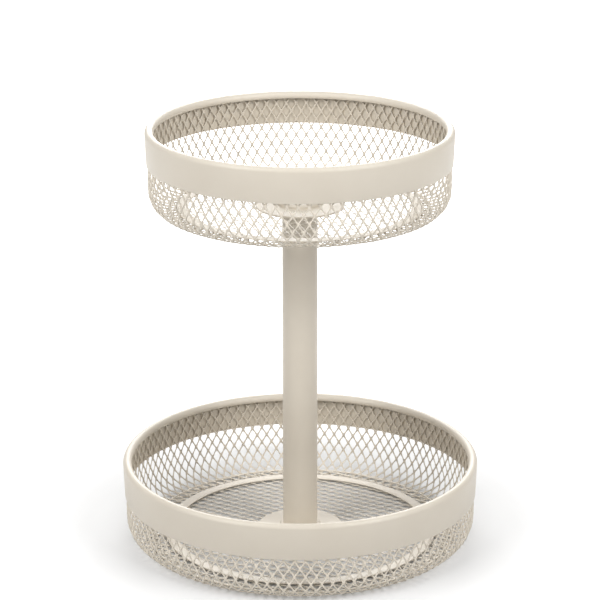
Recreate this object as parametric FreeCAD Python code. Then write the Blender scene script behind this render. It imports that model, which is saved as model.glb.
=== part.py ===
import FreeCAD, Part
import math
import os

# Two-tier basket: two round trays of diamond mesh, clamped to the ends of one pole.
# Millimetres, +Z up, origin on the table in the pole's axis.

# Whole stand
overall_height = 353.5
tray_height = 69.0
lower_rim_radius = 149.0
upper_rim_radius = 125.5

# Rim band: a sheet strip whose top edge is rolled inwards round a wire
lower_band_height = 30.1
upper_band_height = 28.5
band_sheet = 0.5
roll_radius = 3.65
roll_proud = 1.0
roll_drop = 2.0
wire_clearance = 0.3

# Diamond mesh of the walls and floors
mesh_thickness = 1.0
strand_width = 1.25
diamond_height = 14.1
lower_diamonds_round = 106
upper_diamonds_round = 91
crossing_height = 38.2
floor_turn = -48.0
corner_radius = 18.0
corner_steps = 5
lip_width = 9.0
mesh_edge = 1.0
weld_gap = 0.25
sew_tolerance = 0.0001

# Flat ring that stiffens each floor
lower_floor_ring_radius = 115.0
upper_floor_ring_radius = 100.0
floor_ring_width = 9.0
floor_ring_sheet = 0.8

# Hub plate in the middle of each floor, pressed up into a shallow cup
hub_sheet = 1.5
hub_radius = 36.0
hub_rise = 4.0
hub_bend = 1.0
hub_cup_clearance = 1.5
floor_hole_clearance = 2.0

# Pole with a tapped plate welded into each end
pole_radius = 14.5
pole_wall = 1.2
end_plate_length = 12.0
end_plate_clearance = 0.05

# M6 screw and washer at each end of the pole
screw_radius = 3.0
screw_length = 14.0
thread_clearance = 0.05
head_radius = 6.5
head_height = 3.3
head_round = 1.2
socket_flats = 4.0
socket_depth = 1.8
washer_radius = 9.0
washer_thickness = 1.2
hole_clearance = 0.3

# Heights above the underside of a tray
floor_bottom = mesh_thickness + weld_gap
floor_top = floor_bottom + mesh_thickness
hub_bottom = floor_top + weld_gap
seat_bottom = hub_bottom + hub_rise
seat_top = seat_bottom + hub_sheet
roll_height = tray_height - roll_radius

# Radii that pieces share
roll_bore = roll_radius - band_sheet
wire_radius = roll_bore - wire_clearance
hub_cup_radius = pole_radius + hub_cup_clearance
floor_hole_radius = pole_radius + floor_hole_clearance
hole_radius = screw_radius + hole_clearance

# Heights above the table
upper_base = overall_height - tray_height
pole_bottom = seat_top
pole_top = upper_base + seat_bottom

origin = FreeCAD.Vector(0, 0, 0)
up = FreeCAD.Vector(0, 0, 1)
sideways = FreeCAD.Vector(0, 1, 0)


def rz(radius, height):
    return FreeCAD.Vector(radius, 0, height)


def line(a, b):
    return Part.LineSegment(a, b).toShape()


def on_circle(centre, radius, degrees):
    turn = math.radians(degrees)
    return centre + rz(radius * math.cos(turn), radius * math.sin(turn))


def round_arc(centre, radius, start, end):
    stations = [on_circle(centre, radius, d) for d in (start, (start + end) / 2, end)]
    return Part.Arc(*stations).toShape()


def polygon_face(points):
    return Part.Face(Part.makePolygon(points + points[:1]))


def turned(edges):
    return Part.Face(Part.Wire(edges)).revolve(origin, up, 360)


def ring(inner, outer, bottom, top):
    section = polygon_face([rz(inner, bottom), rz(outer, bottom), rz(outer, top), rz(inner, top)])
    return section.revolve(origin, up, 360)


def save(name, solid):
    solid.exportStep("parts/" + name + ".step")
    print(name, len(solid.Solids), "solid", round(solid.Volume, 1), "mm3")


# Rim

def rim_band(rim_radius, base, band_height):
    centre = rz(rim_radius - roll_radius, base + roll_height)
    outer = rim_radius - roll_proud
    inner = outer - band_sheet
    bottom = base + tray_height - band_height
    outer_start = -math.degrees(math.acos((outer - centre.x) / roll_radius))
    inner_start = -math.degrees(math.acos((inner - centre.x) / roll_bore))
    end = 180 + math.degrees(math.asin(roll_drop / roll_radius))
    return turned([
        line(rz(outer, bottom), on_circle(centre, roll_radius, outer_start)),
        round_arc(centre, roll_radius, outer_start, end),
        line(on_circle(centre, roll_radius, end), on_circle(centre, roll_bore, end)),
        round_arc(centre, roll_bore, end, inner_start),
        line(on_circle(centre, roll_bore, inner_start), rz(inner, bottom)),
        line(rz(inner, bottom), rz(outer, bottom)),
    ])


def rim_wire(rim_radius, base):
    return Part.makeTorus(rim_radius - roll_radius, wire_radius, rz(0, base + roll_height), up)


# Mesh

def mesh_radius(rim_radius):
    return rim_radius - roll_proud - band_sheet - weld_gap


def opening_share(width):
    # how much of a diamond's width and height stays open between its strands
    half_width = width / 2
    half_height = diamond_height / 2
    reach = half_width * half_height / math.hypot(half_width, half_height)
    return 1 - strand_width / 2 / reach


def wall_line(radius, base, inset):
    # the wall's section from its top edge, round the corner, to the lip's free edge
    bend = rz(radius - corner_radius, base + corner_radius)
    top = base + roll_height - wire_radius - weld_gap
    turns = [-90 * step / corner_steps for step in range(corner_steps + 1)]
    corner = [on_circle(bend, corner_radius - inset, turn) for turn in turns]
    return [rz(radius - inset, top)] + corner + [rz(bend.x - lip_width, base + inset)]


def place_on(path, along):
    # the point that lies this far along a path, and the path's direction there
    for a, b in zip(path, path[1:]):
        run = (b - a).Length
        heading = (b - a) * (1 / run)
        if along <= run or b == path[-1]:
            return a + heading * along, heading
        along -= run


def wall_opening(place, heading, width):
    share = opening_share(width)
    across = sideways * (width / 2 * share)
    along = heading * (diamond_height / 2 * share)
    through = heading.cross(sideways) * mesh_thickness
    corners = [place - through + side for side in (along, across, -along, -across)]
    return polygon_face(corners).extrude(through * 2)


def wall_cell(path, inner_path, count):
    # one diamond's width of the wall, between two planes through the pole's axis
    outline = polygon_face(path + inner_path[::-1])
    reach = path[0].x * math.tan(math.pi / count)
    outline.translate(sideways * -reach)
    slab = outline.extrude(sideways * reach * 2)
    foot = rz(0, path[-1].z - mesh_thickness)
    far = rz(path[0].x * 2, 0)
    half = sideways * reach * 2
    wedge = polygon_face([foot, foot + far - half, foot + far + half])
    return slab.common(wedge.extrude(up * tray_height))


def mesh_wall(rim_radius, base, count):
    radius = mesh_radius(rim_radius)
    turn = 360 / count
    path = wall_line(radius, base, 0)
    middle = wall_line(radius, base, mesh_thickness / 2)
    length = sum((b - a).Length for a, b in zip(middle, middle[1:]))
    pitch = diamond_height / 2
    # one row of crossings lies at the crossing height, and the others follow up and down
    margin = mesh_edge + diamond_height / 2 * opening_share(2 * math.pi * radius / count)
    first = path[0].z - base - crossing_height
    start = margin + (first - margin) % pitch
    rows = int((length - margin - start) / pitch) + 1
    cuts = []
    for row in range(rows):
        place, heading = place_on(middle, start + row * pitch)
        cut = wall_opening(place, heading, 2 * math.pi * place.x / count)
        sides = (-turn / 2, turn / 2) if row % 2 else (0,)
        cuts += [cut.rotated(origin, up, side) for side in sides]
    cell = wall_cell(path, wall_line(radius, base, mesh_thickness), count)
    cell = cell.cut(Part.makeCompound(cuts))

    def is_inner_joint(face):
        # faces that only part one cell from the next
        centre = face.CenterOfMass
        off_plane = abs(centre.y) - centre.x * math.tan(math.radians(turn / 2))
        return abs(off_plane) < sew_tolerance

    skin = Part.makeCompound([face for face in cell.Faces if not is_inner_joint(face)])
    net = Part.makeCompound([skin.rotated(origin, up, turn * i) for i in range(count)])
    net.sewShape(sew_tolerance)
    return Part.Solid(net.Shells[0])


def mesh_floor(rim_radius, base, count):
    outer = mesh_radius(rim_radius) - corner_radius
    width = 2 * math.pi * mesh_radius(rim_radius) / count
    share = opening_share(width)
    level = rz(0, base + floor_bottom)
    corners = [
        rz(width / 2 * share, 0),
        sideways * (-diamond_height / 2 * share),
        rz(-width / 2 * share, 0),
        sideways * (diamond_height / 2 * share),
    ]
    wires = [
        Part.Wire(Part.makeCircle(outer, level, up)),
        Part.Wire(Part.makeCircle(floor_hole_radius, level, -up)),
    ]
    columns = int(2 * outer / width)
    lines = int(2 * outer / diamond_height)
    for row in range(-lines, lines + 1):
        for column in range(-columns, columns + 1):
            if (row + column) % 2:
                continue
            centre = rz(column * width / 2, 0) + sideways * (row * diamond_height / 2)
            points = [centre + corner for corner in corners]
            far = max(point.Length for point in points)
            near = min(point.Length for point in points)
            if far < outer - mesh_edge and near > floor_hole_radius + mesh_edge:
                points = [level + point for point in points]
                wires.append(Part.makePolygon(points + points[:1]))
    return Part.Face(wires).extrude(up * mesh_thickness).rotated(origin, up, floor_turn)


def floor_ring(outer, base):
    bottom = base + floor_top + weld_gap
    return ring(outer - floor_ring_width, outer, bottom, bottom + floor_ring_sheet)


# Hub and pole

def hub_plate(base):
    bottom = base + hub_bottom
    seat = base + seat_bottom
    outer_bend = hub_bend + hub_sheet
    shoulder = rz(hub_cup_radius - hub_bend, seat - hub_bend)
    root = rz(hub_cup_radius + outer_bend, bottom + outer_bend)
    return turned([
        line(rz(hole_radius, seat), rz(shoulder.x, seat)),
        round_arc(shoulder, hub_bend, 90, 0),
        line(on_circle(shoulder, hub_bend, 0), on_circle(root, outer_bend, 180)),
        round_arc(root, outer_bend, 180, 270),
        line(rz(root.x, bottom), rz(hub_radius, bottom)),
        line(rz(hub_radius, bottom), rz(hub_radius, bottom + hub_sheet)),
        line(rz(hub_radius, bottom + hub_sheet), rz(root.x, bottom + hub_sheet)),
        round_arc(root, hub_bend, 270, 180),
        line(on_circle(root, hub_bend, 180), on_circle(shoulder, outer_bend, 0)),
        round_arc(shoulder, outer_bend, 0, 90),
        line(rz(shoulder.x, base + seat_top), rz(hole_radius, base + seat_top)),
        line(rz(hole_radius, base + seat_top), rz(hole_radius, seat)),
    ])


def end_plate(bottom):
    outer = pole_radius - pole_wall - end_plate_clearance
    return ring(screw_radius + thread_clearance, outer, bottom, bottom + end_plate_length)


def screw():
    # its head stands up from z = 0, its shank hangs below
    crown = rz(head_radius - head_round, head_height - head_round)
    body = turned([
        line(rz(0, -screw_length), rz(screw_radius, -screw_length)),
        line(rz(screw_radius, -screw_length), rz(screw_radius, 0)),
        line(rz(screw_radius, 0), rz(head_radius, 0)),
        line(rz(head_radius, 0), rz(head_radius, crown.z)),
        round_arc(crown, head_round, 0, 90),
        line(rz(crown.x, head_height), rz(0, head_height)),
        line(rz(0, head_height), rz(0, -screw_length)),
    ])
    corner = socket_flats / math.sqrt(3)
    turns = [math.radians(60 * i) for i in range(6)]
    hexagon = [rz(corner * math.cos(t), head_height - socket_depth) + sideways * (corner * math.sin(t))
               for t in turns]
    return body.cut(polygon_face(hexagon).extrude(up * head_height))


# Both trays are alike but for their radius, band, diamonds, floor ring and height on the pole
os.makedirs("parts", exist_ok=True)
trays = {
    "lower": (lower_rim_radius, 0, lower_diamonds_round, lower_band_height, lower_floor_ring_radius),
    "upper": (upper_rim_radius, upper_base, upper_diamonds_round, upper_band_height, upper_floor_ring_radius),
}
for tier, (rim_radius, base, count, band_height, floor_ring_radius) in trays.items():
    save(tier + "_mesh_wall", mesh_wall(rim_radius, base, count))
    save(tier + "_mesh_floor", mesh_floor(rim_radius, base, count))
    save(tier + "_floor_ring", floor_ring(floor_ring_radius, base))
    save(tier + "_rim_band", rim_band(rim_radius, base, band_height))
    save(tier + "_rim_wire", rim_wire(rim_radius, base))
    save(tier + "_hub_plate", hub_plate(base))

save("pole_tube", ring(pole_radius - pole_wall, pole_radius, pole_bottom, pole_top))
save("pole_foot_plate", end_plate(pole_bottom))
save("pole_head_plate", end_plate(pole_top - end_plate_length))

# The lower screw comes up from under its tray, the upper one goes down from inside its tray
lower_washer_bottom = seat_bottom - washer_thickness
upper_washer_bottom = upper_base + seat_top
save("lower_washer", ring(hole_radius, washer_radius, lower_washer_bottom, seat_bottom))
save("upper_washer", ring(hole_radius, washer_radius, upper_washer_bottom,
                          upper_washer_bottom + washer_thickness))
upside_down = screw().rotated(origin, sideways, 180)
save("lower_screw", upside_down.translated(up * lower_washer_bottom))
save("upper_screw", screw().translated(up * (upper_washer_bottom + washer_thickness)))
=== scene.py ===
import bmesh
import bpy
import math
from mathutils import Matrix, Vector


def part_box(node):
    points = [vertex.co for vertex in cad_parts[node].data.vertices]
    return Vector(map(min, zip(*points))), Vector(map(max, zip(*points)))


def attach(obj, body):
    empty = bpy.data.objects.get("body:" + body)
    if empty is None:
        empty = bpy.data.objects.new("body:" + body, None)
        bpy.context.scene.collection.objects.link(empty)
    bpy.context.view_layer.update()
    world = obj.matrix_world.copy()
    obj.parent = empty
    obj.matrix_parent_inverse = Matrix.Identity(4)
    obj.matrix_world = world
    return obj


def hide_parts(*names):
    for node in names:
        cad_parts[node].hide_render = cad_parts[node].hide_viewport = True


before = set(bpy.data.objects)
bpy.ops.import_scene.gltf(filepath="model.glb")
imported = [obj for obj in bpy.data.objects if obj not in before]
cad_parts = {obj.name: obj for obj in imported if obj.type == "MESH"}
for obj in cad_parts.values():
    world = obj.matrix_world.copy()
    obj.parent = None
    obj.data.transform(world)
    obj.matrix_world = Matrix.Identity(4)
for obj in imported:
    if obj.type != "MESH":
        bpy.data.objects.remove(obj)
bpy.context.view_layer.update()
scene = bpy.context.scene
mm = 0.001


# Camera, at the photo's angle
photoView = {
    "place": (0.0, -1.938, 0.857),
    "pitchDown": 18.56,  # degrees
    "roll": -0.06,
    "lens": 148.6,
    "sensor": 36.0,
}


def addCamera(look):
    camera = bpy.data.objects.new("photoCamera", bpy.data.cameras.new("photoCamera"))
    camera.data.lens = look["lens"]
    camera.data.sensor_width = look["sensor"]
    camera.location = look["place"]
    camera.rotation_mode = "ZXY"  # the roll turns first, about the line of sight
    camera.rotation_euler = (math.radians(90 - look["pitchDown"]), 0, math.radians(look["roll"]))
    scene.collection.objects.link(camera)
    scene.camera = camera


addCamera(photoView)
scene.view_settings.view_transform = "Standard"
print("camera set")


# Shader helpers
noiseSpan = (0.3, 0.7)  # a noise stays mostly between these


def newMaterial(name):
    material = bpy.data.materials.new(name)
    material.use_nodes = True
    material.node_tree.nodes.clear()
    return material, material.node_tree


def addNode(tree, kind, **settings):
    node = tree.nodes.new(kind)
    for name, value in settings.items():
        setattr(node, name, value)
    return node


def feed(tree, socket, value):
    if isinstance(value, bpy.types.NodeSocket):
        tree.links.new(value, socket)
    else:
        socket.default_value = value


def mapRange(tree, value, fromSpan, toSpan):
    node = addNode(tree, "ShaderNodeMapRange")
    feed(tree, node.inputs["Value"], value)
    for label, limit in zip(("From Min", "From Max", "To Min", "To Max"), (*fromSpan, *toSpan)):
        node.inputs[label].default_value = limit
    return node.outputs["Result"]


def noiseOn(tree, place, scale, detail):
    noise = addNode(tree, "ShaderNodeTexNoise")
    feed(tree, noise.inputs["Vector"], place)
    noise.inputs["Scale"].default_value = scale
    noise.inputs["Detail"].default_value = detail
    return noise.outputs["Fac"]


def colourPatches(tree, noise, first, second):
    mix = addNode(tree, "ShaderNodeMix", data_type="RGBA")
    feed(tree, mix.inputs["Factor"], mapRange(tree, noise, noiseSpan, (0.0, 1.0)))
    feed(tree, mix.inputs["A"], first)
    feed(tree, mix.inputs["B"], second)
    return mix.outputs["Result"]


def roughen(tree, shader, noise, strength, depth, roughness):
    # one fine noise drives the gloss and the bump alike
    bump = addNode(tree, "ShaderNodeBump")
    bump.inputs["Strength"].default_value = strength
    bump.inputs["Distance"].default_value = depth
    feed(tree, bump.inputs["Height"], noise)
    feed(tree, shader.inputs["Normal"], bump.outputs["Normal"])
    feed(tree, shader.inputs["Roughness"], mapRange(tree, noise, noiseSpan, roughness))


def showSurface(tree, surface):
    output = addNode(tree, "ShaderNodeOutputMaterial")
    feed(tree, output.inputs["Surface"], surface)


# Powder coat: warm beige, faintly mottled, with a fine uneven skin
coatLook = {
    "pale": (0.700, 0.640, 0.545, 1.0),
    "deep": (0.672, 0.610, 0.515, 1.0),
    "mottleScale": 22.0,  # per metre
    "mottleDetail": 3.0,
    "peelScale": 620.0,
    "peelDetail": 2.0,
    "peelDepth": 0.03 * mm,
    "peelStrength": 0.25,
    "roughness": (0.40, 0.50),
}


def powderCoat(look):
    material, tree = newMaterial("powderCoat")
    place = addNode(tree, "ShaderNodeTexCoord").outputs["Object"]
    shader = addNode(tree, "ShaderNodeBsdfPrincipled")
    mottle = noiseOn(tree, place, look["mottleScale"], look["mottleDetail"])
    peel = noiseOn(tree, place, look["peelScale"], look["peelDetail"])
    feed(tree, shader.inputs["Base Color"], colourPatches(tree, mottle, look["pale"], look["deep"]))
    roughen(tree, shader, peel, look["peelStrength"], look["peelDepth"], look["roughness"])
    showSurface(tree, shader.outputs["BSDF"])
    return material


# Zinc plate: bare metal with spangles and a fine grain
zincLook = {
    "pale": (0.66, 0.67, 0.69, 1.0),
    "deep": (0.52, 0.53, 0.55, 1.0),
    "spangleScale": 420.0,
    "spangleDetail": 2.0,
    "grainScale": 1800.0,
    "grainDetail": 3.0,
    "grainDepth": 0.01 * mm,
    "grainStrength": 0.3,
    "roughness": (0.26, 0.42),
}


def zincPlate(look):
    material, tree = newMaterial("zincPlate")
    place = addNode(tree, "ShaderNodeTexCoord").outputs["Object"]
    shader = addNode(tree, "ShaderNodeBsdfPrincipled")
    shader.inputs["Metallic"].default_value = 1.0
    spangle = noiseOn(tree, place, look["spangleScale"], look["spangleDetail"])
    grain = noiseOn(tree, place, look["grainScale"], look["grainDetail"])
    feed(tree, shader.inputs["Base Color"], colourPatches(tree, spangle, look["pale"], look["deep"]))
    roughen(tree, shader, grain, look["grainStrength"], look["grainDepth"], look["roughness"])
    showSurface(tree, shader.outputs["BSDF"])
    return material


coat = powderCoat(coatLook)
zinc = zincPlate(zincLook)
print("finishes made")


# Sizes and places of the two trays, read from the frame
def traySizes(tier):
    wallLow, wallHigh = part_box(tier + "_mesh_wall")
    floorLow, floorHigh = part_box(tier + "_mesh_floor")
    ringLow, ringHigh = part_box(tier + "_floor_ring")
    bandLow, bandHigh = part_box(tier + "_rim_band")
    hubLow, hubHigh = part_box(tier + "_hub_plate")
    return {
        "base": wallLow.z,
        "wallTop": wallHigh.z,
        "wallRadius": wallHigh.x,
        "floorRadius": floorHigh.x,
        "floorBottom": floorLow.z,
        "floorTop": floorHigh.z,
        "ringRadius": ringHigh.x,
        "ringBottom": ringLow.z,
        "ringTop": ringHigh.z,
        "bandRadius": bandHigh.x,
        "bandBottom": bandLow.z,
        "bandTop": bandHigh.z,
        "hubRadius": hubHigh.x,
        "hubBottom": hubLow.z,
        "hubTop": hubHigh.z,
    }


trays = {tier: traySizes(tier) for tier in ("lower", "upper")}


# Turned pieces: closed outlines of radius and height, spun round the pole's axis
turnedLook = {
    "joinGap": 0.001 * mm,
    "sharpAngle": 40.0,  # degrees
    "edgeSteps": 3,  # in each rounded edge of a strip
}


def arcLine(centre, radius, start, end, steps):
    turns = [math.radians(start + (end - start) * i / steps) for i in range(steps + 1)]
    return [(centre[0] + radius * math.cos(turn), centre[1] + radius * math.sin(turn)) for turn in turns]


def roundedStrip(inner, outer, bottom, top, edge):
    # a flat ring or a tube wall with rounded edges
    steps = turnedLook["edgeSteps"]
    return (arcLine((outer - edge, bottom + edge), edge, -90, 0, steps)
            + arcLine((outer - edge, top - edge), edge, 0, 90, steps)
            + arcLine((inner + edge, top - edge), edge, 90, 180, steps)
            + arcLine((inner + edge, bottom + edge), edge, 180, 270, steps))


def spunMesh(name, outline, steps):
    points = []
    for i in range(steps):
        angle = 2 * math.pi * i / steps
        points += [(radius * math.cos(angle), radius * math.sin(angle), z) for radius, z in outline]
    size = len(outline)
    faces = []
    for i in range(steps):
        here = i * size
        there = (i + 1) % steps * size
        for j in range(size):
            k = (j + 1) % size
            faces.append((here + j, there + j, there + k, here + k))
    mesh = bpy.data.meshes.new(name)
    mesh.from_pydata(points, [], faces)
    bm = bmesh.new()
    bm.from_mesh(mesh)
    bmesh.ops.remove_doubles(bm, verts=bm.verts[:], dist=turnedLook["joinGap"])
    bmesh.ops.recalc_face_normals(bm, faces=bm.faces)
    for face in bm.faces:
        face.smooth = True
    bm.to_mesh(mesh)
    bm.free()
    mesh.set_sharp_from_angle(angle=math.radians(turnedLook["sharpAngle"]))
    return mesh


def spunPiece(name, outline, steps, material):
    piece = bpy.data.objects.new(name, spunMesh(name, outline, steps))
    piece.data.materials.append(material)
    scene.collection.objects.link(piece)
    return piece


# Geometry Nodes helpers
def newTree(name, inputs):
    tree = bpy.data.node_groups.new(name, "GeometryNodeTree")
    tree.interface.new_socket("Geometry", in_out="INPUT", socket_type="NodeSocketGeometry")
    for label, kind in inputs.items():
        tree.interface.new_socket(label, in_out="INPUT", socket_type="NodeSocket" + kind)
    tree.interface.new_socket("Geometry", in_out="OUTPUT", socket_type="NodeSocketGeometry")
    return tree, addNode(tree, "NodeGroupInput").outputs


def calc(tree, operation, *values):
    node = addNode(tree, "ShaderNodeMath", operation=operation)
    for socket, value in zip(node.inputs, values):
        feed(tree, socket, value)
    return node.outputs["Value"]


def geometryStep(tree, kind, geometry, **inputs):
    node = addNode(tree, kind)
    feed(tree, node.inputs[0], geometry)
    for label, value in inputs.items():
        feed(tree, node.inputs[label.replace("_", " ")], value)
    return node.outputs[0]


def pointParts(tree):
    parts = addNode(tree, "ShaderNodeSeparateXYZ")
    feed(tree, parts.inputs["Vector"], addNode(tree, "GeometryNodeInputPosition").outputs["Position"])
    return parts.outputs


def pointFrom(tree, x, y, z):
    point = addNode(tree, "ShaderNodeCombineXYZ")
    for socket, value in zip(point.inputs, (x, y, z)):
        feed(tree, socket, value)
    return point.outputs["Vector"]


def closeTree(tree, geometry, material):
    whole = geometryStep(tree, "GeometryNodeRealizeInstances", geometry)
    painted = geometryStep(tree, "GeometryNodeSetMaterial", whole, Material=material)
    output = addNode(tree, "NodeGroupOutput")
    feed(tree, output.inputs["Geometry"], painted)


def grownMesh(name, cell, tree, values):
    # runs the tree on a cell and keeps the plain mesh
    cell.materials.append(coat)  # or the tree would leave an empty slot before its own
    grower = bpy.data.objects.new(name, cell)
    scene.collection.objects.link(grower)
    modifier = grower.modifiers.new("grow", "NODES")
    modifier.node_group = tree
    for item in tree.interface.items_tree:
        if item.in_out == "INPUT" and item.name in values:
            modifier[item.identifier] = values[item.name]
    graph = bpy.context.evaluated_depsgraph_get()
    mesh = bpy.data.meshes.new_from_object(grower.evaluated_get(graph), depsgraph=graph)
    mesh.name = name
    grower.modifiers.remove(modifier)
    grower.data = mesh
    return grower


# Diamond mesh, as a flat net with y downwards
meshLook = {
    "strandWidth": 0.95 * mm,
    "diamonds": {"lower": 105, "upper": 90},  # round each wall, and just as wide in the floors
    "softEdge": 0.17,  # creases of the strands, from 0, round, to 1, sharp
    "softCorner": 0.27,
    "joinGap": 0.004 * mm,
}


def diamondCell(name, halfWidth, halfHeight, look):
    # one crossing with the two strands that rise from it
    strand = meshLook["strandWidth"]
    lean = look["lean"]
    slope = math.hypot(halfWidth, halfHeight)
    side = strand * slope / halfHeight / 2
    rise = strand * slope / halfWidth / 2
    twist = math.atan2(lean, rise)
    lift = look["sheet"] / 2 * math.sin(twist)
    depth = look["sheet"] / 2 * math.cos(twist)
    flat = [
        (-side, 0, 0), (side, 0, 0), (0, -rise, lean), (0, rise, -lean),
        (halfWidth, rise - halfHeight, -lean), (halfWidth - side, -halfHeight, 0),
        (-halfWidth, rise - halfHeight, -lean), (side - halfWidth, -halfHeight, 0),
    ]
    points = [(x, y + face * lift, z + face * depth) for face in (1, -1) for x, y, z in flat]
    fronts = [(1, 3, 0, 2), (5, 4, 1, 2), (6, 7, 2, 0)]
    backs = [tuple(i + len(flat) for i in reversed(face)) for face in fronts]
    sides = [(1, 4, 12, 9), (5, 2, 10, 13), (2, 7, 15, 10), (6, 0, 8, 14)]
    cell = bpy.data.meshes.new(name)
    cell.from_pydata(points, [], fronts + backs + sides)
    soft = cell.attributes.new("softness", "FLOAT", "EDGE")
    for edge in cell.edges:
        first, second = edge.vertices
        through = abs(first - second) == len(flat)  # from the front face to the back
        soft.data[edge.index].value = meshLook["softCorner"] if through else meshLook["softEdge"]
    return cell


def staggeredPoints(tree, given):
    # rows of points, every other row moved on by half a diamond
    halfWidth = given["Half Width"]
    halfHeight = given["Half Height"]
    grid = addNode(tree, "GeometryNodeMeshGrid")
    width = calc(tree, "MULTIPLY", halfWidth, 2.0)
    across = calc(tree, "MULTIPLY", calc(tree, "SUBTRACT", given["Columns"], 1.0), width)
    down = calc(tree, "MULTIPLY", calc(tree, "SUBTRACT", given["Rows"], 1.0), halfHeight)
    feed(tree, grid.inputs["Size X"], across)
    feed(tree, grid.inputs["Size Y"], down)
    feed(tree, grid.inputs["Vertices X"], given["Columns"])
    feed(tree, grid.inputs["Vertices Y"], given["Rows"])
    x, y = pointParts(tree)[:2]
    fromTop = calc(tree, "ADD", y, calc(tree, "MULTIPLY", down, 0.5))
    row = calc(tree, "ROUND", calc(tree, "DIVIDE", fromTop, halfHeight))
    sideStep = calc(tree, "MULTIPLY", calc(tree, "MODULO", row, 2.0), halfWidth)
    moved = pointFrom(tree, calc(tree, "ADD", x, sideStep), fromTop, 0.0)
    return geometryStep(tree, "GeometryNodeSetPosition", grid.outputs["Mesh"], Position=moved)


def softened(tree, geometry):
    # one round of subdivision, held back at the edges by the cell's own creases
    crease = addNode(tree, "GeometryNodeInputNamedAttribute", data_type="FLOAT")
    crease.inputs["Name"].default_value = "softness"
    joined = geometryStep(tree, "GeometryNodeMergeByDistance", geometry, Distance=meshLook["joinGap"])
    rounded = geometryStep(tree, "GeometryNodeSubdivisionSurface", joined, Level=1,
                           Edge_Crease=crease.outputs["Attribute"], Limit_Surface=False)
    return geometryStep(tree, "GeometryNodeSetShadeSmooth", rounded)


def closedNet(piece, bm):
    # caps the cut ends of strands and turns every face outwards
    openEdges = [edge for edge in bm.edges if edge.is_boundary]
    caps = bmesh.ops.holes_fill(bm, edges=openEdges, sides=0)["faces"]
    bmesh.ops.triangulate(bm, faces=[face for face in caps if len(face.verts) > 4])
    bmesh.ops.recalc_face_normals(bm, faces=bm.faces)
    for face in bm.faces:
        face.smooth = True
    bm.to_mesh(piece.data)
    bm.free()


# Mesh wall: a net rolled into a ring, its foot turned in as a lip
wallLook = {
    "sheet": 0.85 * mm,
    "lean": 0.44 * mm,  # strands are twisted: the lower edge stands out, the upper edge in
    "rows": 12,
    "rowsAbove": 3,  # above the row whose height is known
    "crossingHeight": 37.4 * mm,  # of that row, from the base
    "turn": {"lower": -0.08, "upper": -0.61},  # degrees, so that the crossings fall as in the photo
    "bendRadius": 18.0 * mm,
    "lipWidth": 10.0 * mm,
}


def diamondWallTree(material):
    tree, given = newTree("diamondWall", {
        "Columns": "Int", "Rows": "Int", "Half Width": "Float", "Half Height": "Float",
        "First Row": "Float", "Turn": "Float", "Wall Radius": "Float", "Wall Top": "Float",
        "Straight": "Float", "Bend Radius": "Float"})
    points = staggeredPoints(tree, given)
    copies = geometryStep(tree, "GeometryNodeInstanceOnPoints", points, Instance=given["Geometry"])
    net = geometryStep(tree, "GeometryNodeRealizeInstances", copies)
    # the flat net goes down the wall, round the bend and in along the lip
    across, down, inward = pointParts(tree)
    down = calc(tree, "ADD", down, given["First Row"])
    angle = calc(tree, "ADD", calc(tree, "DIVIDE", across, given["Wall Radius"]), given["Turn"])
    past = calc(tree, "SUBTRACT", down, given["Straight"])
    bend = calc(tree, "DIVIDE", past, given["Bend Radius"])
    bend = calc(tree, "MINIMUM", calc(tree, "MAXIMUM", bend, 0.0), math.pi / 2)
    quarter = calc(tree, "MULTIPLY", given["Bend Radius"], math.pi / 2)
    alongLip = calc(tree, "MAXIMUM", calc(tree, "SUBTRACT", past, quarter), 0.0)
    reach = calc(tree, "SUBTRACT", given["Bend Radius"], inward)
    hubSide = calc(tree, "SUBTRACT", given["Wall Radius"], given["Bend Radius"])
    radius = calc(tree, "ADD", hubSide, calc(tree, "MULTIPLY", reach, calc(tree, "COSINE", bend)))
    radius = calc(tree, "SUBTRACT", radius, alongLip)
    height = calc(tree, "SUBTRACT", given["Wall Top"], calc(tree, "MINIMUM", down, given["Straight"]))
    height = calc(tree, "SUBTRACT", height, calc(tree, "MULTIPLY", reach, calc(tree, "SINE", bend)))
    x = calc(tree, "MULTIPLY", radius, calc(tree, "SINE", angle))
    y = calc(tree, "MULTIPLY", radius, calc(tree, "MULTIPLY", calc(tree, "COSINE", angle), -1.0))
    wrapped = geometryStep(tree, "GeometryNodeSetPosition", net, Position=pointFrom(tree, x, y, height))
    closeTree(tree, softened(tree, wrapped), material)
    return tree


def meshWall(tier, tree, look):
    tray = trays[tier]
    half = look["lean"] + look["sheet"] / 2
    radius = tray["wallRadius"] - half
    bend = look["bendRadius"] - half
    straight = tray["wallTop"] - tray["base"] - look["bendRadius"]
    count = meshLook["diamonds"][tier]
    halfWidth = math.pi * radius / count
    # rows are spaced from the known crossing to the lip's edge
    known = tray["wallTop"] - tray["base"] - look["crossingHeight"]
    lipEdge = straight + bend * math.pi / 2 + look["lipWidth"] - meshLook["strandWidth"] / 2
    halfHeight = (lipEdge - known) / (look["rows"] - 1 - look["rowsAbove"])
    turn = math.radians(look["turn"][tier]) + math.pi / count * (1 - look["rowsAbove"] % 2)
    cell = diamondCell(tier + "WallCell", halfWidth, halfHeight, look)
    piece = grownMesh(tier + "MeshWall", cell, tree, {
        "Columns": count, "Rows": look["rows"], "Half Width": halfWidth, "Half Height": halfHeight,
        "First Row": known - look["rowsAbove"] * halfHeight, "Turn": turn,
        "Wall Radius": radius, "Wall Top": tray["wallTop"], "Straight": straight, "Bend Radius": bend})
    bm = bmesh.new()
    bm.from_mesh(piece.data)
    everything = bm.verts[:] + bm.edges[:] + bm.faces[:]
    bmesh.ops.bisect_plane(bm, geom=everything, plane_co=(0, 0, tray["wallTop"]), plane_no=(0, 0, 1),
                           clear_outer=True)
    closedNet(piece, bm)
    return piece


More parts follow.
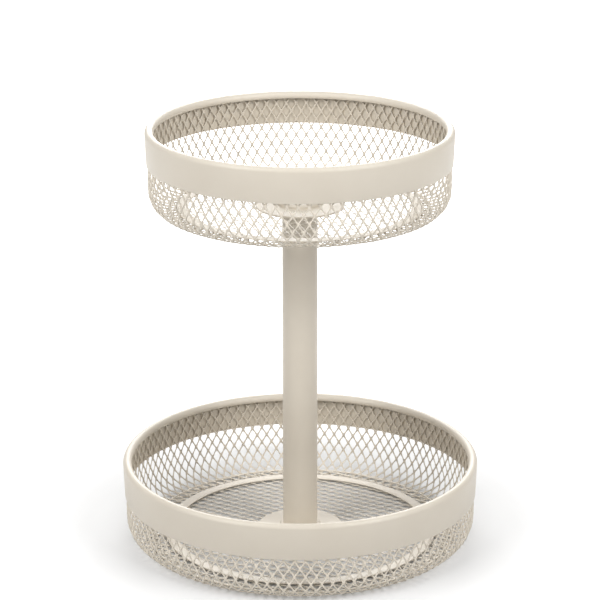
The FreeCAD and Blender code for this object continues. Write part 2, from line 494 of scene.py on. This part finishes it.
wallTree = diamondWallTree(coat)
for tier in trays:
    wall = meshWall(tier, wallTree, wallLook)
    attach(wall, tier + "_tray")
    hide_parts(tier + "_mesh_wall")
    print(wall.name, len(wall.data.polygons), "faces")


# Mesh floor: a round disc of net, with a hoop round its edge and round its hole
floorLook = {
    "sheet": 0.5 * mm,
    "lean": 0.4 * mm,
    "diamondHeight": 14.1 * mm,
    "turn": {"lower": 90.0, "upper": -15.0},  # degrees
    "hole": 16.5 * mm,
    "spareColumns": 3,  # past the edge, before the net is trimmed
    "spareRows": 5,
    "trimSides": 96,
    "trimFromShare": 0.9,  # of the radius: the net inside it needs no trimming
    "trimGap": 0.002 * mm,
    "hoopWidth": 1.2 * mm,
    "hoopEdgeShare": 0.25,  # of the hoop's thickness
    "hoopSteps": 192,
}


def diamondFloorTree(material):
    tree, given = newTree("diamondFloor", {
        "Columns": "Int", "Rows": "Int", "Half Width": "Float", "Half Height": "Float",
        "Reach": "Float", "Hole": "Float", "Level": "Float", "Turn": "Float"})
    points = staggeredPoints(tree, given)
    x, y = pointParts(tree)[:2]
    down = calc(tree, "MULTIPLY", calc(tree, "SUBTRACT", given["Rows"], 1.0), given["Half Height"])
    y = calc(tree, "SUBTRACT", y, calc(tree, "MULTIPLY", down, 0.5))
    points = geometryStep(tree, "GeometryNodeSetPosition", points, Position=pointFrom(tree, x, y, 0.0))
    # crossings beyond the edge and inside the hole are left out
    x, y = pointParts(tree)[:2]
    squares = calc(tree, "ADD", calc(tree, "MULTIPLY", x, x), calc(tree, "MULTIPLY", y, y))
    away = calc(tree, "SQRT", squares)
    outside = calc(tree, "GREATER_THAN", away, given["Reach"])
    inside = calc(tree, "LESS_THAN", away, given["Hole"])
    points = geometryStep(tree, "GeometryNodeDeleteGeometry", points,
                          Selection=calc(tree, "ADD", outside, inside))
    copies = geometryStep(tree, "GeometryNodeInstanceOnPoints", points, Instance=given["Geometry"])
    net = softened(tree, geometryStep(tree, "GeometryNodeRealizeInstances", copies))
    level = pointFrom(tree, 0.0, 0.0, given["Level"])
    turn = pointFrom(tree, 0.0, 0.0, given["Turn"])
    placed = geometryStep(tree, "GeometryNodeTransform", net, Translation=level, Rotation=turn)
    closeTree(tree, placed, material)
    return tree


def trimmedRound(bm, radius, look):
    # cuts a flat net to a round edge, side by side
    inside = radius * look["trimFromShare"]
    rim = bm.copy()
    for net, isRim in ((bm, False), (rim, True)):
        others = [face for face in net.faces if (face.calc_center_median().xy.length > inside) != isRim]
        bmesh.ops.delete(net, geom=others, context="FACES")
    for i in range(look["trimSides"]):
        angle = 2 * math.pi * i / look["trimSides"]
        outward = Vector((math.cos(angle), math.sin(angle), 0))
        bmesh.ops.bisect_plane(rim, geom=rim.verts[:] + rim.edges[:] + rim.faces[:],
                               plane_co=outward * radius, plane_no=outward, clear_outer=True)
    rimMesh = bpy.data.meshes.new("netEdge")
    rim.to_mesh(rimMesh)
    rim.free()
    bm.from_mesh(rimMesh)
    bpy.data.meshes.remove(rimMesh)
    bmesh.ops.remove_doubles(bm, verts=bm.verts[:], dist=look["trimGap"])


def addHoops(piece, tray, look):
    bottom = tray["floorBottom"]
    top = tray["floorTop"]
    edge = (top - bottom) * look["hoopEdgeShare"]
    bm = bmesh.new()
    bm.from_mesh(piece.data)
    for inner in (tray["floorRadius"] - look["hoopWidth"], look["hole"]):
        outline = roundedStrip(inner, inner + look["hoopWidth"], bottom, top, edge)
        hoop = spunMesh("floorHoop", outline, look["hoopSteps"])
        bm.from_mesh(hoop)
        bpy.data.meshes.remove(hoop)
    bm.to_mesh(piece.data)
    bm.free()


def meshFloor(tier, tree, look):
    tray = trays[tier]
    width = 2 * math.pi * tray["wallRadius"] / meshLook["diamonds"][tier]
    height = look["diamondHeight"]
    radius = tray["floorRadius"]
    hoop = look["hoopWidth"]
    cell = diamondCell(tier + "FloorCell", width / 2, height / 2, look)
    piece = grownMesh(tier + "MeshFloor", cell, tree, {
        "Columns": 2 * math.ceil(radius / width) + look["spareColumns"],
        "Rows": 4 * math.ceil(radius / height) + look["spareRows"],
        "Half Width": width / 2, "Half Height": height / 2,
        "Reach": radius + height, "Hole": look["hole"] + hoop,
        "Level": (tray["floorBottom"] + tray["floorTop"]) / 2,
        "Turn": math.radians(look["turn"][tier])})
    bm = bmesh.new()
    bm.from_mesh(piece.data)
    trimmedRound(bm, radius - hoop / 2, look)
    closedNet(piece, bm)
    addHoops(piece, tray, look)
    return piece


floorTree = diamondFloorTree(coat)
for tier in trays:
    floor = meshFloor(tier, floorTree, floorLook)
    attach(floor, tier + "_tray")
    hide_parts(tier + "_mesh_floor")
    print(floor.name, len(floor.data.polygons), "faces")


# Floor ring: a flat strip welded on the floor, near its edge
ringLook = {"width": 9.0 * mm, "edge": 0.25 * mm, "steps": 288}
for tier, tray in trays.items():
    ringOutline = roundedStrip(tray["ringRadius"] - ringLook["width"], tray["ringRadius"],
                               tray["ringBottom"], tray["ringTop"], ringLook["edge"])
    ring = spunPiece(tier + "FloorRing", ringOutline, ringLook["steps"], coat)
    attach(ring, tier + "_tray")
    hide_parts(tier + "_floor_ring")
print("floor rings made")


# Rim band: one sheet, rolled inwards round its wire
bandLook = {
    "sheet": 0.5 * mm,
    "rollRadius": 3.65 * mm,
    "rollProud": 1.0 * mm,  # beyond the foot of the band, which leans in towards it
    "rollDrop": 2.0 * mm,  # the sheet's end lies this far below the middle of the roll
    "edgeSteps": 6,
    "rollSteps": 36,
    "innerSteps": 24,
    "steps": 288,
}


def bandOutline(tray, look):
    sheet = look["sheet"]
    roll = look["rollRadius"]
    centre = (tray["bandRadius"] - roll, tray["bandTop"] - roll)
    outer = tray["bandRadius"] - look["rollProud"]
    across = outer - centre[0]
    down = centre[1] - tray["bandBottom"]
    # the sheet leaves the roll where it heads straight for the foot
    lean = math.degrees(math.acos(roll / math.hypot(across, down)) - math.atan2(down, across))
    end = 180 + math.degrees(math.asin(look["rollDrop"] / roll))
    foot = (outer - sheet / 2, tray["bandBottom"] + sheet / 2)
    tip = arcLine(centre, roll - sheet / 2, end, end, 1)[0]
    return (arcLine(foot, sheet / 2, lean - 180, lean, look["edgeSteps"])
            + arcLine(centre, roll, lean, end, look["rollSteps"])
            + arcLine(tip, sheet / 2, end, end + 180, look["edgeSteps"])[1:-1]
            + arcLine(centre, roll - sheet, end, lean, look["innerSteps"]))


for tier, tray in trays.items():
    band = spunPiece(tier + "RimBand", bandOutline(tray, bandLook), bandLook["steps"], coat)
    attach(band, tier + "_tray")
    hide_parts(tier + "_rim_band")
print("rim bands made")


# Hub plate: a disc pressed up into a shallow cup under the pole or the screw
hubLook = {
    "sheet": 1.5 * mm,
    "cupRadius": 16.0 * mm,
    "bend": 1.0 * mm,
    "hole": 3.3 * mm,
    "edge": 0.3 * mm,
    "edgeSteps": 4,
    "innerSteps": 6,  # on the inside of each bend
    "outerSteps": 8,
    "steps": 160,
}


def hubOutline(tray, look):
    sheet = look["sheet"]
    bend = look["bend"]
    outside = bend + sheet
    edge = look["edge"]
    rim = tray["hubRadius"]
    bottom = tray["hubBottom"]
    seat = tray["hubTop"] - sheet
    shoulder = (look["cupRadius"] - bend, seat - bend)
    root = (look["cupRadius"] + outside, bottom + outside)
    return ([(look["hole"], seat)]
            + arcLine(shoulder, bend, 90, 0, look["innerSteps"])
            + arcLine(root, outside, 180, 270, look["outerSteps"])
            + arcLine((rim - edge, bottom + edge), edge, -90, 0, look["edgeSteps"])
            + arcLine((rim - edge, bottom + sheet - edge), edge, 0, 90, look["edgeSteps"])
            + arcLine(root, bend, 270, 180, look["innerSteps"])
            + arcLine(shoulder, outside, 0, 90, look["outerSteps"])
            + [(look["hole"], tray["hubTop"])])


for tier, tray in trays.items():
    hub = spunPiece(tier + "HubPlate", hubOutline(tray, hubLook), hubLook["steps"], coat)
    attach(hub, tier + "_tray")
    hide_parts(tier + "_hub_plate")
print("hub plates made")


# Pole
poleLook = {"wall": 1.2 * mm, "edge": 0.4 * mm, "steps": 160}
poleLow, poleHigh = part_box("pole_tube")
poleOutline = roundedStrip(poleHigh.x - poleLook["wall"], poleHigh.x,
                           poleLow.z, poleHigh.z, poleLook["edge"])
pole = spunPiece("poleTube", poleOutline, poleLook["steps"], coat)
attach(pole, "pole")
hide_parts("pole_tube")
print("pole made")


# Plated steel pieces keep their CAD shape
platedEnds = ("_rim_wire", "_washer", "_screw", "_foot_plate", "_head_plate")
for name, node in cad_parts.items():
    if name.endswith(platedEnds):
        node.data.materials.clear()
        node.data.materials.append(zinc)
print("plated pieces finished")


# Studio
studio = {
    "floorHalf": 8.0,
    "floorDrop": 0.1 * mm,
    "floorColour": (0.70, 0.70, 0.70, 1.0),
    "liftSpan": (0.12, 0.36),  # from the object outwards, what the camera sees is lifted to white by a glow; nearer in the glow fades, a painted grey halo round the base besides its real shadow
    "lift": (0.0, 1.0),
    "skyColour": (1.0, 1.0, 1.0, 1.0),
    "skyLight": 0.13,
    "backdrop": 1.0,
    "softboxes": {
        "overhead": {"place": (0.0, -0.2, 1.9), "aim": (0, 0, 0.2), "size": 1.4, "watts": 4.5},
        "left": {"place": (-1.1, -0.95, 1.3), "aim": (0, 0, 0.3), "size": 1.0, "watts": 20.0},
        "right": {"place": (1.1, -0.95, 1.3), "aim": (0, 0, 0.3), "size": 1.0, "watts": 19.7},
        "back": {"place": (0.0, 1.8, 1.0), "aim": (0, 0, 0.25), "size": 1.2, "watts": 24.0},
    },
}


def seenRays(tree):
    path = addNode(tree, "ShaderNodeLightPath").outputs
    seen = calc(tree, "ADD", path["Is Camera Ray"], path["Is Glossy Ray"])
    return calc(tree, "MINIMUM", calc(tree, "ADD", seen, path["Is Transmission Ray"]), 1.0)


def floorPaint(look):
    material, tree = newMaterial("floorPaint")
    shader = addNode(tree, "ShaderNodeBsdfDiffuse")
    shader.inputs["Color"].default_value = look["floorColour"]
    away = addNode(tree, "ShaderNodeVectorMath", operation="LENGTH")
    feed(tree, away.inputs[0], addNode(tree, "ShaderNodeTexCoord").outputs["Object"])
    # painted shade: the glow fades towards the object, so the floor round the base looks greyer than its
    # real shadow alone would make it
    lift = mapRange(tree, away.outputs["Value"], look["liftSpan"], look["lift"])
    glow = addNode(tree, "ShaderNodeEmission")
    feed(tree, glow.inputs["Strength"], calc(tree, "MULTIPLY", lift, seenRays(tree)))
    both = addNode(tree, "ShaderNodeAddShader")
    feed(tree, both.inputs[0], shader.outputs["BSDF"])
    feed(tree, both.inputs[1], glow.outputs["Emission"])
    showSurface(tree, both.outputs["Shader"])
    return material


def addFloor(look):
    half = look["floorHalf"]
    mesh = bpy.data.meshes.new("studioFloor")
    corners = [(-half, -half), (half, -half), (half, half), (-half, half)]
    mesh.from_pydata([(x, y, -look["floorDrop"]) for x, y in corners], [], [(0, 1, 2, 3)])
    mesh.materials.append(floorPaint(look))
    floor = bpy.data.objects.new("studioFloor", mesh)
    scene.collection.objects.link(floor)


def addSky(look):
    world = bpy.data.worlds.new("studioSky")
    world.use_nodes = True
    tree = world.node_tree
    tree.nodes.clear()
    sky = addNode(tree, "ShaderNodeBackground")
    white = look["backdrop"] - look["skyLight"]
    strength = calc(tree, "MULTIPLY_ADD", seenRays(tree), white, look["skyLight"])
    feed(tree, sky.inputs["Strength"], strength)
    sky.inputs["Color"].default_value = look["skyColour"]
    output = addNode(tree, "ShaderNodeOutputWorld")
    feed(tree, output.inputs["Surface"], sky.outputs["Background"])
    scene.world = world


def addSoftbox(name, look):
    lamp = bpy.data.lights.new(name, "AREA")
    lamp.shape = "SQUARE"
    lamp.size = look["size"]
    lamp.energy = look["watts"]
    softbox = bpy.data.objects.new(name, lamp)
    softbox.location = look["place"]
    aim = Vector(look["aim"]) - Vector(look["place"])
    softbox.rotation_euler = aim.to_track_quat("-Z", "Y").to_euler()
    scene.collection.objects.link(softbox)


addFloor(studio)
addSky(studio)
for name, look in studio["softboxes"].items():
    addSoftbox(name, look)
print("studio lit")
